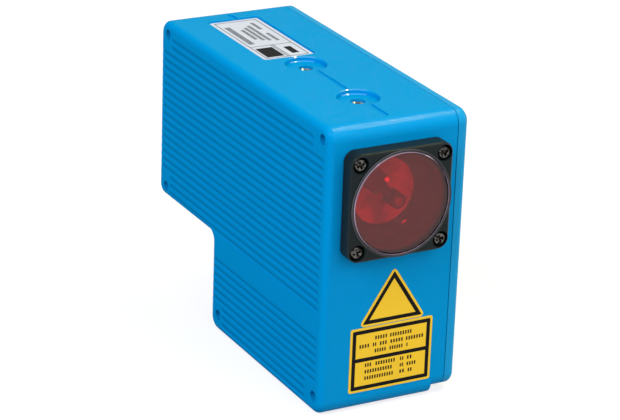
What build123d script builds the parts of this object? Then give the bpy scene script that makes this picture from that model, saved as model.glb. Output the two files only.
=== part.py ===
from build123d import *
import os

os.makedirs("parts", exist_ok=True)

# Laser distance sensor in an L-shaped die-cast housing. X runs across it, Y from the window
# to the rear, Z up. The origin is under the middle of the part, on the floor. Millimetres.

# Housing
body_depth = 131.0
foot_depth = 85.0
foot_height = 36.5
flange_width = 5.0
flange_lift = 2.2
side_wall = 4.0
shell_wall = 3.5
corner_radius = 5.0
overhang_radius = 4.0
step_radius = 3.0
cavity_radius = 1.5
edge_radius = 2.5

# Side cover, its gasket and screws
cover_thickness = 4.2
gasket_thickness = 0.3
gasket_inset = 0.4
cover_screw_radius = 1.5
cover_screw_reach = 16.0
cover_thread_length = 14.0
cover_head_radius = 2.8
post_radius = 3.2
post_bore_radius = 1.9
front_screw_inset = 4.6
rear_screw_inset = 6.4
top_screw_inset = 4.6
low_screw_inset = 4.3
thread_clearance = 0.05

# Cooling grooves in the left side
groove_spacing = 3.0
groove_width = 1.9
groove_depth = 0.5
groove_taper = 40.0
groove_top_margin = 6.0
groove_overhang_margin = 2.2
groove_foot_margin = 8.9
groove_base_margin = 3.2
groove_front_margin = 3.4
post_reach = 4.5
post_front_land = 6.2
post_rear_land = 3.0

# Screw points on top and underneath, sight groove and label recess
mount_offset = 25.0
mount_first = 26.0
mount_spacing = 38.0
spot_radius = 7.5
spot_depth = 1.6
spot_edge = 0.4
insert_radius = 2.6
insert_hole_radius = 2.1
insert_length = 8.0
insert_floor = 2.5
mount_boss_radius = 5.5
sight_width = 2.2
sight_depth = 0.5
sight_margin = 6.0
label_offset = 23.75
label_centre = 96.4
label_width = 19.6
label_length = 45.6
label_border = 0.6
label_recess_depth = 0.6
label_corner = 0.8
film_thickness = 0.15

# Window bezel
window_height = 78.0
bezel_depth = 7.0
bezel_width = 38.8
bezel_corner = 4.0
bezel_edge = 1.0
bezel_gasket_thickness = 0.5
bezel_gasket_inset = 0.3
lip_height = 0.5
lip_margin = 0.3
glass_margin = 0.5
glass_ledge = 1.3
glass_thickness = 2.5
glass_chamfer = 0.7
glass_clearance = 0.05
window_seal_thickness = 0.5
bezel_screw_inset = 3.35
bezel_screw_drop = 3.75
bezel_screw_radius = 1.5
bezel_head_radius = 2.4
bezel_head_height = 1.9
bezel_head_chamfer = 0.5
counterbore_radius = 2.95
counterbore_depth = 2.4
screw_hole_clearance = 0.2
cross_width = 0.8
cross_length = 3.0
cross_depth = 1.0

# Lens carrier, receiver lens and its ring
opening_margin = 1.1
nose_clearance = 0.1
block_side_inset = 0.5
block_end_inset = 0.5
block_clearance = 2.0
cover_room = 5.7
block_post_gap = 0.3
block_flange = 6.0
block_corner = 3.0
plate_depth = 6.0
ring_radius = 13.7
ring_thickness = 1.4
ring_opening = 12.2
lens_radius = 12.8
lens_edge = 1.6
lens_rim = 0.9
lens_bulge = 1.8
lens_seat = 0.9
lens_clearance = 0.05
cone_start = 13.6
cone_end = 6.5
cone_wall = 1.5
cone_length = 36.0

# Emitter arm in front of the receiver lens
arm_angle = 135.0
arm_front = 3.6
holder_length = 8.1
holder_width = 7.2
foot_length = 2.8
arm_gap = 0.7
spoke_width = 3.0
head_radius = 2.8
head_back = 2.4
diode_flange_radius = 2.7
diode_flange_thickness = 1.2
diode_cap_radius = 1.75
diode_cap_length = 2.3
diode_clearance = 0.05
beam_radius = 0.9
collimator_radius = 1.7
collimator_thickness = 1.4
prism_size = 2.4
prism_clearance = 0.1

# Receiver board at the end of the cone
detector_plate = 24.0
detector_plate_thickness = 3.0
detector_hole_spacing = 18.0
detector_can_radius = 4.0
detector_can_height = 2.6
shield_size = 13.0
shield_height = 5.0
shield_wall = 0.5
small_screw_radius = 1.0
small_head_radius = 1.9
small_head_height = 1.3
small_screw_bite = 2.4

# Circuit boards and what stands on them
board_thickness = 1.6
board_post_height = 10.0
board_post_radius = 2.6
board_post_inset = 3.2
board_gap = 2.5
board_lift = 2.0
board_screw_radius = 1.0
board_screw_bite = 6.0
board_head_radius = 1.9
board_head_height = 1.6
power_board_height = 40.0
main_board_top_gap = 4.5
main_board_rear_gap = 10.0
header_length = 8.0
header_width = 5.0
header_height = 5.0
ribbon_width = 6.0
ribbon_thickness = 0.5
ribbon_bend = 2.5
ribbon_reach = 7.0
header_inset = 5.0
header_gap = 0.5
part_gap = 2.0
timing_inset = 17.0
processor_size = 14.0
processor_height = 2.4
memory_length = 7.0
memory_width = 6.0
memory_height = 1.6
memory_count = 3
memory_spacing = 9.5
timing_length = 26.0
timing_width = 14.0
timing_height = 5.0
transformer_length = 16.0
transformer_width = 18.0
transformer_height = 16.0
transformer_core = 6.0
capacitor_radius = 5.0
capacitor_height = 14.0
capacitor_spacing = 12.0
capacitor_count = 2
capacitor_chamfer = 0.6

# Round connector on the rear of the foot
connector_height = 21.5
connector_thread_radius = 8.0
connector_thread_length = 8.0
connector_hole_clearance = 0.2
connector_flange_radius = 11.0
connector_flange_thickness = 3.0
connector_flat = 9.6
connector_nose_radius = 9.0
connector_nose_length = 12.0
connector_nose_chamfer = 0.8
socket_radius = 7.2
socket_depth = 10.0
insert_body_radius = 6.2
insert_body_clearance = 0.05
seal_thickness = 1.0
nut_width = 20.0
nut_thickness = 3.0
pin_radius = 0.5
pin_circle_radius = 4.4
pin_count = 7
pin_reach = 6.5
pin_tail = 3.0
connector_board_size = 15.0

# Yellow films on the front
triangle_width = 26.4
triangle_height = 20.7
triangle_drop = 6.5
triangle_corner = 1.2
frame_film_width = 32.3
frame_film_base = 7.0
frame_film_gap = 0.3
frame_film_corner = 0.8
film_shift = 2.5

# Window stack, from the bezel inwards
lip_radius = bezel_width / 2 - lip_margin
glass_radius = lip_radius - glass_margin
bore_radius = glass_radius - glass_ledge
opening_radius = bore_radius + opening_margin
bezel_screw_spacing_x = bezel_width - 2 * bezel_screw_inset
bezel_screw_spacing_z = bezel_width - 2 * bezel_screw_drop
block_width = bezel_width - 2 * block_side_inset
block_height = bezel_width - 2 * block_end_inset

# The body is as wide and as high as the lens carrier and its neighbours need
window_offset = side_wall + block_clearance + block_width / 2
housing_width = window_offset + block_width / 2 + cover_room
body_height = window_height + block_height / 2 + block_post_gap + post_radius + top_screw_inset
total_width = housing_width + gasket_thickness + cover_thickness

# Places worked out from the sizes
x_left = -total_width / 2
x_rim = x_left + housing_width
x_cover = x_rim + gasket_thickness
x_mount = x_left + mount_offset
x_label = x_left + label_offset
x_window = x_left + window_offset
x_film = x_window + film_shift
x_wall = x_left + side_wall
y_front = bezel_depth - (bezel_depth + body_depth) / 2
y_rear = y_front + body_depth
y_step = y_front + foot_depth
y_mounts = [y_front + mount_first, y_front + mount_first + mount_spacing]
y_window = y_front - bezel_depth
y_plate = y_front + plate_depth
y_block_back = y_front + shell_wall + block_flange
y_detector = y_block_back + cone_length
z_screw_low = flange_lift + low_screw_inset
z_screw_soffit = foot_height + low_screw_inset
z_screw_top = body_height - top_screw_inset

cover_screw_points = [
    (y_front + front_screw_inset, z_screw_low),
    (y_step - rear_screw_inset, z_screw_low),
    (y_rear - rear_screw_inset, z_screw_soffit),
    (y_rear - rear_screw_inset, z_screw_top),
    (y_front + front_screw_inset, z_screw_top),
]


def facing_front(y):
    """Plane at depth y that looks forwards, with X to the right and Z up."""
    return Plane.XZ.offset(-y)


def facing_right(x):
    """Plane at x that looks to the right, with Y across and Z up."""
    return Plane.YZ.offset(x)


def body_outline(inset, floor):
    """Rounded L of the body, drawn inset inside its outer faces, with its base at floor."""
    front = y_front + inset
    step = y_step - inset
    rear = y_rear - inset
    base = floor + inset
    soffit = foot_height + inset
    top = body_height - inset
    corner = max(corner_radius - inset, cavity_radius)
    overhang = max(overhang_radius - inset, cavity_radius)
    points = [(front, base), (step, base), (step, soffit), (rear, soffit), (rear, top), (front, top)]
    radii = [corner, corner, step_radius + inset, overhang, corner, corner]
    with BuildLine() as path:
        FilletPolyline(*points, radius=radii, close=True)
    make_face(path.edges())


# Boards: where their edges and faces lie
x_board = x_wall + board_post_height
x_board_face = x_board + board_thickness
z_power_low = insert_length + insert_floor + board_lift
z_power_top = z_power_low + power_board_height
z_main_low = z_power_top + board_gap
z_main_top = body_height - shell_wall - main_board_top_gap
y_power_front = y_block_back + board_gap
y_thread_end = y_step - shell_wall - connector_thread_length
y_power_rear = y_thread_end - board_gap
y_main_front = y_detector + board_thickness + header_height + board_gap
y_main_rear = y_rear - shell_wall - main_board_rear_gap
power_board_place = ((y_power_front + y_power_rear) / 2, (z_power_low + z_power_top) / 2)
power_board_depth = y_power_rear - y_power_front
main_board_place = ((y_main_front + y_main_rear) / 2, (z_main_low + z_main_top) / 2)
main_board_depth = y_main_rear - y_main_front
main_board_height = z_main_top - z_main_low


def board_hole_points():
    """Corner screw points of both boards, as (y, z) pairs."""
    points = []
    for (y, z), depth, height in (
        (power_board_place, power_board_depth, power_board_height),
        (main_board_place, main_board_depth, main_board_height),
    ):
        for side in (-1, 1):
            for end in (-1, 1):
                across = y + side * (depth / 2 - board_post_inset)
                up = z + end * (height / 2 - board_post_inset)
                points.append((across, up))
    return points


board_screw_points = board_hole_points()


# Housing: cast L with a lifted flange for the cover, cooling grooves and screw posts
def groove_rows():
    """Heights of the cooling grooves: one group above the overhang line, one on the foot."""
    rows = []
    z = body_height - groove_top_margin
    while z > foot_height + groove_overhang_margin:
        rows.append(z)
        z -= groove_spacing
    z = foot_height - groove_foot_margin
    while z > groove_base_margin:
        rows.append(z)
        z -= groove_spacing
    return rows


def groove_span(z):
    """Front and rear end of the groove at height z: it stops short of the screw posts."""
    front = y_front + groove_front_margin
    rear = (y_rear if z > foot_height else y_step) + groove_width
    for post_y, post_z in cover_screw_points:
        in_reach = abs(post_z - z) < post_reach
        same_part = (post_z > foot_height) == (z > foot_height)
        if in_reach and same_part and post_y < y_front + foot_depth / 2:
            front = post_y + post_front_land
        elif in_reach and same_part:
            rear = post_y - post_rear_land
    return front, rear


with BuildPart() as housing:
    with BuildSketch(facing_right(x_left)):
        body_outline(0, 0)
    extrude(amount=housing_width - flange_width)
    with BuildSketch(facing_right(x_rim - flange_width)):
        body_outline(0, flange_lift)
    extrude(amount=flange_width)
    fillet(housing.faces().sort_by(Axis.X)[0].edges(), radius=edge_radius)
    # Cavity, open to the right
    with BuildSketch(facing_right(x_wall)):
        body_outline(shell_wall, flange_lift)
    extrude(amount=housing_width - side_wall, mode=Mode.SUBTRACT)
    # Posts for the cover screws and the boards
    with BuildSketch(facing_right(x_wall)):
        with Locations(*cover_screw_points):
            Circle(post_radius)
    extrude(amount=housing_width - side_wall)
    with BuildSketch(facing_right(x_wall)):
        with Locations(*board_screw_points):
            Circle(board_post_radius)
    extrude(amount=board_post_height)
    # Bosses that take the threaded inserts, top and bottom
    with BuildSketch(Plane.XY.offset(body_height - shell_wall)):
        with Locations(*[(x_mount, y) for y in y_mounts]):
            Circle(mount_boss_radius)
    extrude(amount=shell_wall - spot_depth - insert_length - insert_floor)
    with BuildSketch(Plane.XY.offset(flange_lift)):
        with Locations(*[(x_mount, y) for y in y_mounts]):
            Circle(mount_boss_radius)
    extrude(amount=insert_length + insert_floor - flange_lift)
    # Spot faces with a rounded rim, then the bores for the inserts
    with BuildSketch(Plane.XY.offset(body_height)):
        with Locations(*[(x_mount, y) for y in y_mounts]):
            Circle(spot_radius)
    extrude(amount=-spot_depth, mode=Mode.SUBTRACT)
    rims = housing.edges().filter_by(GeomType.CIRCLE).filter_by_position(
        Axis.Z, body_height, body_height)
    fillet(rims, radius=spot_edge)
    with BuildSketch(Plane.XY.offset(body_height - spot_depth)):
        with Locations(*[(x_mount, y) for y in y_mounts]):
            Circle(insert_radius)
    extrude(amount=-insert_length, mode=Mode.SUBTRACT)
    with BuildSketch(Plane.XY):
        with Locations(*[(x_mount, y) for y in y_mounts]):
            Circle(insert_radius)
    extrude(amount=insert_length, mode=Mode.SUBTRACT)
    # Sight groove along the top, and the recess for the type label
    with BuildSketch(Plane.XY.offset(body_height)):
        with Locations((x_mount, (y_front + y_rear) / 2)):
            SlotOverall(body_depth - 2 * sight_margin, sight_width, rotation=90)
    extrude(amount=-sight_depth, mode=Mode.SUBTRACT)
    with BuildSketch(Plane.XY.offset(body_height)):
        with Locations((x_label, y_front + label_centre)):
            RectangleRounded(label_width + 2 * label_border, label_length + 2 * label_border,
                             label_corner + label_border)
    extrude(amount=-label_recess_depth, mode=Mode.SUBTRACT)
    # Cooling grooves with drafted flanks and round ends
    with BuildSketch(facing_right(x_left)):
        for groove_z in groove_rows():
            groove_front, groove_rear = groove_span(groove_z)
            with Locations(((groove_front + groove_rear) / 2, groove_z)):
                SlotOverall(groove_rear - groove_front, groove_width)
    extrude(amount=groove_depth, taper=groove_taper, mode=Mode.SUBTRACT)
    # Bores of the cover posts: open from the left, threaded next to the cover
    with BuildSketch(facing_right(x_left)):
        with Locations(*cover_screw_points):
            Circle(post_bore_radius)
    extrude(amount=housing_width - cover_thread_length, mode=Mode.SUBTRACT)
    with BuildSketch(facing_right(x_rim)):
        with Locations(*cover_screw_points):
            Circle(cover_screw_radius + thread_clearance)
    extrude(amount=-cover_thread_length, mode=Mode.SUBTRACT)
    with BuildSketch(facing_right(x_board)):
        with Locations(*board_screw_points):
            Circle(board_screw_radius + thread_clearance)
    extrude(amount=-board_screw_bite - board_thickness, mode=Mode.SUBTRACT)
    # Window opening with its four screw holes, and the hole for the connector
    with BuildSketch(facing_front(y_front)):
        with Locations((x_window, window_height)):
            Circle(opening_radius)
            with GridLocations(bezel_screw_spacing_x, bezel_screw_spacing_z, 2, 2):
                Circle(bezel_screw_radius + screw_hole_clearance)
    extrude(amount=-shell_wall, mode=Mode.SUBTRACT)
    with BuildSketch(facing_front(y_step)):
        with Locations((x_mount, connector_height)):
            Circle(connector_thread_radius + connector_hole_clearance)
    extrude(amount=shell_wall, mode=Mode.SUBTRACT)

# Threaded inserts, pressed in from the top and from below
with BuildPart() as thread_inserts:
    for insert_z in (body_height - spot_depth - insert_length, 0):
        with BuildSketch(Plane.XY.offset(insert_z)):
            with Locations(*[(x_mount, y) for y in y_mounts]):
                Circle(insert_radius)
                Circle(insert_hole_radius, mode=Mode.SUBTRACT)
        extrude(amount=insert_length)

# Flat gasket between housing and cover, set back a little so that a dark line shows
with BuildPart() as cover_gasket:
    with BuildSketch(facing_right(x_rim)):
        body_outline(gasket_inset, flange_lift)
    extrude(amount=gasket_thickness)
    with BuildSketch(facing_right(x_rim)):
        body_outline(shell_wall, flange_lift)
    extrude(amount=gasket_thickness, mode=Mode.SUBTRACT)
    with BuildSketch(facing_right(x_rim)):
        with Locations(*cover_screw_points):
            Circle(post_radius)
    extrude(amount=gasket_thickness)
    with BuildSketch(facing_right(x_rim)):
        with Locations(*cover_screw_points):
            Circle(cover_screw_radius + screw_hole_clearance)
    extrude(amount=gasket_thickness, mode=Mode.SUBTRACT)

# Side cover with countersunk holes
with BuildPart() as side_cover:
    with BuildSketch(facing_right(x_cover)):
        body_outline(0, flange_lift)
    extrude(amount=cover_thickness)
    fillet(side_cover.faces().sort_by(Axis.X)[-1].edges(), radius=edge_radius)
    with Locations(facing_right(x_cover + cover_thickness)):
        with Locations(*cover_screw_points):
            CounterSinkHole(cover_screw_radius + screw_hole_clearance,
                            cover_head_radius + screw_hole_clearance)

# Cover screws: countersunk heads flush with the cover
x_outside = x_cover + cover_thickness
with BuildPart() as cover_screws:
    for screw_y, screw_z in cover_screw_points:
        with BuildSketch(Plane((0, screw_y, screw_z), x_dir=(1, 0, 0), z_dir=(0, 0, 1))):
            with BuildLine():
                head_rise = cover_head_radius - cover_screw_radius
                Polyline(
                    (x_outside, 0),
                    (x_outside, cover_head_radius),
                    (x_outside - head_rise, cover_screw_radius),
                    (x_rim - cover_screw_reach, cover_screw_radius),
                    (x_rim - cover_screw_reach, 0),
                    close=True,
                )
            make_face()
        revolve(axis=Axis((0, screw_y, screw_z), (1, 0, 0)))
    with BuildSketch(facing_right(x_outside)):
        with Locations(*cover_screw_points):
            RegularPolygon(cover_screw_radius, 6, major_radius=False)
    extrude(amount=-cross_depth, mode=Mode.SUBTRACT)

# Window bezel: square frame with a round lip, a stepped seat and four counterbores
y_bezel_back = y_front - bezel_gasket_thickness
bezel_plate = bezel_depth - bezel_gasket_thickness - lip_height
y_bezel_face = y_bezel_back - bezel_plate
seat_depth = glass_thickness + window_seal_thickness
seat_radius = glass_radius + glass_clearance
with BuildPart() as bezel:
    with BuildSketch(facing_front(y_bezel_back)):
        with Locations((x_window, window_height)):
            RectangleRounded(bezel_width, bezel_width, bezel_corner)
    extrude(amount=bezel_plate)
    fillet(bezel.faces().sort_by(Axis.Y)[0].edges(), radius=bezel_edge)
    with BuildSketch(facing_front(y_bezel_face)):
        with Locations((x_window, window_height)):
            Circle(lip_radius)
    extrude(amount=lip_height)
    with BuildSketch(facing_front(y_bezel_back)):
        with Locations((x_window, window_height)):
            Circle(bore_radius)
            with GridLocations(bezel_screw_spacing_x, bezel_screw_spacing_z, 2, 2):
                Circle(bezel_screw_radius + screw_hole_clearance)
    extrude(amount=bezel_depth, mode=Mode.SUBTRACT)
    with BuildSketch(facing_front(y_window)):
        with Locations((x_window, window_height)):
            Circle(seat_radius)
    extrude(amount=-seat_depth, mode=Mode.SUBTRACT)
    with BuildSketch(facing_front(y_bezel_face)):
        with Locations((x_window, window_height)):
            with GridLocations(bezel_screw_spacing_x, bezel_screw_spacing_z, 2, 2):
                Circle(counterbore_radius)
    extrude(amount=-counterbore_depth, mode=Mode.SUBTRACT)

with BuildPart() as bezel_gasket:
    with BuildSketch(facing_front(y_front)):
        with Locations((x_window, window_height)):
            gasket_width = bezel_width - 2 * bezel_gasket_inset
            RectangleRounded(gasket_width, gasket_width, bezel_corner - bezel_gasket_inset)
            Circle(opening_radius, mode=Mode.SUBTRACT)
            with GridLocations(bezel_screw_spacing_x, bezel_screw_spacing_z, 2, 2):
                Circle(bezel_screw_radius + screw_hole_clearance, mode=Mode.SUBTRACT)
    extrude(amount=bezel_gasket_thickness)

# Bezel screws: pan heads with a cross recess, reaching through the wall into the lens carrier
y_head_seat = y_bezel_face + counterbore_depth
with BuildPart() as bezel_screws:
    with BuildSketch(facing_front(y_block_back)):
        with Locations((x_window, window_height)):
            with GridLocations(bezel_screw_spacing_x, bezel_screw_spacing_z, 2, 2):
                Circle(bezel_screw_radius)
    extrude(amount=y_block_back - y_head_seat)
    with BuildSketch(facing_front(y_head_seat)):
        with Locations((x_window, window_height)):
            with GridLocations(bezel_screw_spacing_x, bezel_screw_spacing_z, 2, 2):
                Circle(bezel_head_radius)
    extrude(amount=bezel_head_height)
    head_rims = bezel_screws.edges().filter_by(GeomType.CIRCLE).group_by(Axis.Y)[0]
    chamfer(head_rims, length=bezel_head_chamfer)
    with BuildSketch(facing_front(y_head_seat - bezel_head_height)):
        with Locations((x_window, window_height)):
            with GridLocations(bezel_screw_spacing_x, bezel_screw_spacing_z, 2, 2):
                Rectangle(cross_length, cross_width, rotation=20)
                Rectangle(cross_width, cross_length, rotation=20)
    extrude(amount=-cross_depth, mode=Mode.SUBTRACT)

# Round window with a ground front edge, on a flat rubber ring
with BuildPart() as window_glass:
    with BuildSketch(facing_front(y_window + glass_thickness)):
        with Locations((x_window, window_height)):
            Circle(glass_radius)
    extrude(amount=glass_thickness)
    chamfer(window_glass.edges().group_by(Axis.Y)[0], length=glass_chamfer)

with BuildPart() as window_seal:
    with BuildSketch(facing_front(y_window + seat_depth)):
        with Locations((x_window, window_height)):
            Circle(glass_radius)
            Circle(bore_radius, mode=Mode.SUBTRACT)
    extrude(amount=window_seal_thickness)

# Lens carrier: flange behind the front wall, nose in the opening, light cone to the detector
y_ring_back = y_plate + ring_thickness
y_lens_back = y_ring_back + lens_edge
optical_axis = Axis((x_window, 0, window_height), (0, 1, 0))
optical_section = Plane((x_window, 0, window_height), x_dir=(1, 0, 0), z_dir=(0, 0, 1))
with BuildPart() as optics_block:
    with BuildSketch(facing_front(y_front + shell_wall)):
        with Locations((x_window, window_height)):
            RectangleRounded(block_width, block_height, block_corner)
    extrude(amount=-block_flange)
    with BuildSketch(facing_front(y_front + shell_wall)):
        with Locations((x_window, window_height)):
            Circle(opening_radius - nose_clearance)
    extrude(amount=shell_wall)
    with BuildSketch(facing_front(y_detector)):
        with Locations((x_window, window_height)):
            RectangleRounded(detector_plate, detector_plate, label_corner)
    extrude(amount=detector_plate_thickness)
    with BuildSketch(optical_section):
        with BuildLine():
            Polyline((0, y_block_back), (cone_start, y_block_back), (cone_end, y_detector),
                     (0, y_detector), close=True)
        make_face()
    revolve(axis=optical_axis)
    # Stepped bore: window bore, ring thread, lens seat, aperture and cone
    with BuildSketch(optical_section):
        with BuildLine():
            Polyline(
                (0, y_front),
                (bore_radius, y_front),
                (bore_radius, y_plate),
                (ring_radius + lens_clearance, y_plate),
                (ring_radius + lens_clearance, y_ring_back),
                (lens_radius + lens_clearance, y_ring_back),
                (lens_radius + lens_clearance, y_lens_back),
                (lens_radius - lens_seat, y_lens_back),
                (cone_start - cone_wall, y_block_back),
                (cone_end - cone_wall, y_detector),
                (0, y_detector),
                close=True,
            )
        make_face()
    revolve(axis=optical_axis, mode=Mode.SUBTRACT)
    with BuildSketch(facing_front(y_block_back)):
        with Locations((x_window, window_height)):
            with GridLocations(bezel_screw_spacing_x, bezel_screw_spacing_z, 2, 2):
                Circle(bezel_screw_radius + thread_clearance)
    extrude(amount=block_flange, mode=Mode.SUBTRACT)
    with BuildSketch(facing_front(y_detector)):
        with Locations((x_window, window_height)):
            with GridLocations(detector_hole_spacing, detector_hole_spacing, 2, 2):
                Circle(small_screw_radius + thread_clearance)
    extrude(amount=detector_plate_thickness, mode=Mode.SUBTRACT)

# Receiver lens: flat at the back, domed at the front inside a flat rim
dome_radius = lens_radius - lens_rim
with BuildPart() as receiver_lens:
    with BuildSketch(optical_section):
        with BuildLine():
            Polyline((0, y_ring_back - lens_bulge), (0, y_lens_back), (lens_radius, y_lens_back),
                     (lens_radius, y_ring_back), (dome_radius, y_ring_back))
            sphere_radius = (dome_radius ** 2 + lens_bulge ** 2) / (2 * lens_bulge)
            RadiusArc((0, y_ring_back - lens_bulge), (dome_radius, y_ring_back), sphere_radius)
        make_face()
    revolve(axis=optical_axis)

with BuildPart() as lens_ring:
    with BuildSketch(facing_front(y_ring_back)):
        with Locations((x_window, window_height)):
            Circle(ring_radius)
            Circle(ring_opening, mode=Mode.SUBTRACT)
    extrude(amount=ring_thickness)

# Emitter arm: holder on a foot, spoke and round head on the optical axis
arm_way = Vector(1, 0, 0).rotate(Axis.Y, -arm_angle)
arm_end = bore_radius - arm_gap
holder_start = arm_end - holder_length


def arm_plane(y):
    """Plane at depth y that looks forwards, with its X along the arm."""
    return Plane((x_window, y, window_height), x_dir=arm_way, z_dir=(0, -1, 0))


def beam_plane(distance):
    """Plane across the arm at a distance from the optical axis, looking outwards."""
    centre = Vector(x_window, y_front, window_height) + arm_way * distance
    return Plane(centre, x_dir=(0, 1, 0), z_dir=arm_way)


with BuildPart() as emitter_arm:
    with BuildSketch(arm_plane(y_front + arm_front)):
        with Locations((holder_start + holder_length / 2, 0)):
            Rectangle(holder_length, holder_width)
    extrude(amount=2 * arm_front)
    with BuildSketch(arm_plane(y_plate)):
        with Locations((arm_end - foot_length / 2, 0)):
            Rectangle(foot_length, holder_width)
    extrude(amount=plate_depth - arm_front)
    with BuildSketch(arm_plane(y_front + spoke_width / 2)):
        with Locations((holder_start / 2, 0)):
            Rectangle(holder_start, spoke_width)
    extrude(amount=spoke_width)
    with BuildSketch(arm_plane(y_front + head_back)):
        Circle(head_radius)
    extrude(amount=head_back + arm_front)
    # Bores for the diode and the beam, pocket for the prism, seat for the front lens
    with BuildSketch(beam_plane(0)):
        Circle(beam_radius)
    extrude(amount=arm_end, mode=Mode.SUBTRACT)
    with BuildSketch(beam_plane(arm_end)):
        Circle(diode_flange_radius + diode_clearance)
    extrude(amount=-diode_flange_thickness, mode=Mode.SUBTRACT)
    with BuildSketch(beam_plane(arm_end)):
        Circle(diode_cap_radius + diode_clearance)
    extrude(amount=-diode_flange_thickness - diode_cap_length, mode=Mode.SUBTRACT)
    with BuildSketch(arm_plane(y_front + prism_size / 2 + prism_clearance)):
        Rectangle(prism_size + 2 * prism_clearance, prism_size + 2 * prism_clearance)
    extrude(amount=prism_size + 2 * prism_clearance, mode=Mode.SUBTRACT)
    with BuildSketch(arm_plane(y_front)):
        Circle(beam_radius)
    extrude(amount=arm_front, mode=Mode.SUBTRACT)
    with BuildSketch(arm_plane(y_front - arm_front)):
        Circle(collimator_radius + diode_clearance)
    extrude(amount=-collimator_thickness, mode=Mode.SUBTRACT)

with BuildPart() as laser_diode:
    with BuildSketch(beam_plane(arm_end)):
        Circle(diode_flange_radius)
    extrude(amount=-diode_flange_thickness)
    with BuildSketch(beam_plane(arm_end - diode_flange_thickness)):
        Circle(diode_cap_radius)
    extrude(amount=-diode_cap_length)

with BuildPart() as collimator_lens:
    with BuildSketch(arm_plane(y_front - arm_front + collimator_thickness)):
        Circle(collimator_radius)
    extrude(amount=collimator_thickness)

# The prism's triangle lies in the plane of the arm and the optical axis
prism_side = Plane((x_window, y_front, window_height), x_dir=arm_way,
                   z_dir=arm_way.cross(Vector(0, 1, 0)))
with BuildPart() as folding_prism:
    with BuildSketch(prism_side):
        half = prism_size / 2
        Polygon((half, -half), (half, half), (-half, -half), align=None)
    extrude(amount=half, both=True)

# Receiver board with its detector, shield and screws
y_detector_back = y_detector + board_thickness
with BuildPart() as detector_board:
    with BuildSketch(facing_front(y_detector_back)):
        with Locations((x_window, window_height)):
            Rectangle(detector_plate, detector_plate)
            with GridLocations(detector_hole_spacing, detector_hole_spacing, 2, 2):
                Circle(small_screw_radius + thread_clearance, mode=Mode.SUBTRACT)
    extrude(amount=board_thickness)

with BuildPart() as photo_detector:
    with BuildSketch(facing_front(y_detector)):
        with Locations((x_window, window_height)):
            Circle(detector_can_radius)
    extrude(amount=detector_can_height)
    with BuildSketch(facing_front(y_detector - detector_can_height)):
        with Locations((x_window, window_height)):
            Circle(detector_can_radius / 2)
    extrude(amount=-shield_wall, mode=Mode.SUBTRACT)

with BuildPart() as detector_shield:
    with BuildSketch(facing_front(y_detector_back)):
        with Locations((x_window, window_height)):
            Rectangle(shield_size, shield_size)
    extrude(amount=-shield_height)
    with BuildSketch(facing_front(y_detector_back)):
        with Locations((x_window, window_height)):
            Rectangle(shield_size - 2 * shield_wall, shield_size - 2 * shield_wall)
    extrude(amount=shield_wall - shield_height, mode=Mode.SUBTRACT)

with BuildPart() as detector_screws:
    with BuildSketch(facing_front(y_detector_back)):
        with Locations((x_window, window_height)):
            with GridLocations(detector_hole_spacing, detector_hole_spacing, 2, 2):
                Circle(small_screw_radius)
    extrude(amount=board_thickness + small_screw_bite)
    with BuildSketch(facing_front(y_detector_back)):
        with Locations((x_window, window_height)):
            with GridLocations(detector_hole_spacing, detector_hole_spacing, 2, 2):
                Circle(small_head_radius)
    extrude(amount=-small_head_height)

# Circuit boards on the posts of the left wall
with BuildPart() as power_board:
    with BuildSketch(facing_right(x_board)):
        with Locations(power_board_place):
            Rectangle(power_board_depth, power_board_height)
        with Locations(*board_screw_points[:4]):
            Circle(board_screw_radius + thread_clearance, mode=Mode.SUBTRACT)
    extrude(amount=board_thickness)

with BuildPart() as main_board:
    with BuildSketch(facing_right(x_board)):
        with Locations(main_board_place):
            Rectangle(main_board_depth, main_board_height)
        with Locations(*board_screw_points[4:]):
            Circle(board_screw_radius + thread_clearance, mode=Mode.SUBTRACT)
    extrude(amount=board_thickness)

with BuildPart() as board_screws:
    with BuildSketch(facing_right(x_board_face)):
        with Locations(*board_screw_points):
            Circle(board_screw_radius)
    extrude(amount=-board_thickness - board_screw_bite)
    with BuildSketch(facing_right(x_board_face)):
        with Locations(*board_screw_points):
            Circle(board_head_radius)
    extrude(amount=board_head_height)

# Plug headers: on the receiver board, on the connector board and on the two main boards
x_header_face = x_board_face + header_height
x_detector_header = x_window + detector_plate / 2 - header_width / 2
y_detector_turn = y_main_front + header_inset
y_link = y_detector_turn + (header_width + header_length) / 2 + header_gap
z_power_link = z_power_top - 2 * board_post_inset - header_width / 2
z_main_link = z_main_low + 2 * board_post_inset + header_width / 2
y_connector_board = y_thread_end - pin_tail
x_connector_header = x_mount + header_width / 2
y_connector_turn = y_connector_board - board_thickness - header_height - header_inset
with BuildPart() as board_headers:
    with BuildSketch(facing_right(x_board_face)):
        with Locations((y_detector_turn, window_height)):
            Rectangle(header_width, header_length)
        with Locations((y_connector_turn, connector_height)):
            Rectangle(header_width, header_length)
        with Locations((y_link, z_power_link), (y_link, z_main_link)):
            Rectangle(header_length, header_width)
    extrude(amount=header_height)
    with BuildSketch(facing_front(y_detector_back)):
        with Locations((x_detector_header, window_height)):
            Rectangle(header_width, header_length)
    extrude(amount=-header_height)
    with BuildSketch(facing_front(y_connector_board - board_thickness)):
        with Locations((x_connector_header, connector_height)):
            Rectangle(header_width, header_length)
    extrude(amount=header_height)


def ribbon_strip(plane, points):
    """Flat ribbon of the active part: points give its middle line, bends are round."""
    with BuildSketch(plane) as strip:
        with BuildLine() as path:
            FilletPolyline(*points, radius=ribbon_bend)
        trace(path.edges(), line_width=ribbon_thickness)
    extrude(strip.sketch, amount=ribbon_width / 2, both=True)


with BuildPart() as detector_ribbon:
    ribbon_strip(Plane.XY.offset(window_height), [
        (x_detector_header, y_detector_back + header_height),
        (x_detector_header, y_detector_turn),
        (x_header_face, y_detector_turn),
    ])

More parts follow.
